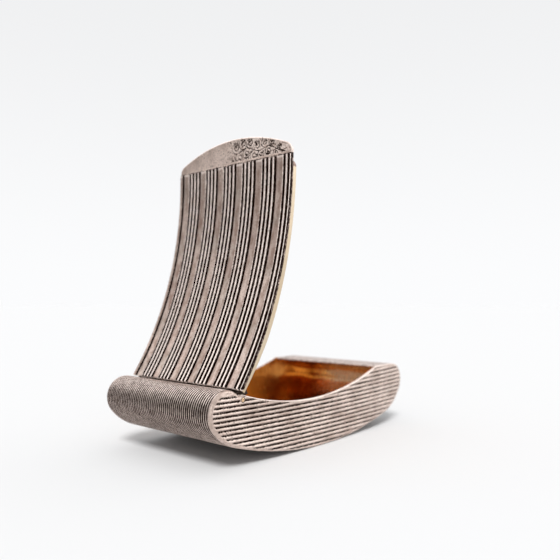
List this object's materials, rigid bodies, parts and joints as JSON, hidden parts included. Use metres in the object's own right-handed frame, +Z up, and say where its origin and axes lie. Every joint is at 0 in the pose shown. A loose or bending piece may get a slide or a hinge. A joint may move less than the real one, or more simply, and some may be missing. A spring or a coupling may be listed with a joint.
{
  "type": "needle case",
  "caption": "Curved pocket needle case: reeded banana-shaped box with round ends, a hinged ribbed lid, a crescent thumb-piece and a gilt inside.",
  "frame": {"origin": "on the resting plane, under the middle of the base's length and of its width", "axes": "+X from the round hinge end towards the thumb-piece end, +Z up; the hinge pin runs along Y, and the drawn lid stands open by 70 degrees"},
  "size_m": [0.082, 0.038, 0.0771],
  "materials": {
    "reeded_silver": "oxidised silver with worn bright reeds",
    "grooved_silver": "satin silver with tarnished grooves",
    "banded_silver": "satin silver bands with black oxidised grooves",
    "engraved_silver": "worn satin silver with fine engraved scrollwork",
    "gilt": "polished gilding",
    "hinge_silver": "dull silver",
    "pin_brass": "filed flush, polished"
  },
  "bodies": {
    "base": {"body_wrap": "reeded_silver", "side_wall_near": "grooved_silver", "side_wall_far": "grooved_silver", "base_hinge_bearer": "hinge_silver", "base_knuckle_1": "hinge_silver", "base_knuckle_2": "hinge_silver", "base_knuckle_3": "hinge_silver", "base_knuckle_4": "hinge_silver", "hinge_pin": "pin_brass"},
    "lid": {"lid_plate": "banded_silver", "thumb_piece": "engraved_silver", "lid_flange_near": "gilt", "lid_flange_far": "gilt", "lid_flange_front": "gilt", "lid_hinge_bearer": "hinge_silver", "lid_knuckle_1": "hinge_silver", "lid_knuckle_2": "hinge_silver", "lid_knuckle_3": "hinge_silver"}
  },
  "joints": [
    {"name": "lid_hinge", "type": "hinge", "parent": "base", "child": "lid", "pos_m": [-0.031, 0, 0.0156], "axis": [0, -1, 0], "range_deg": [-70, 20]}
  ]
}
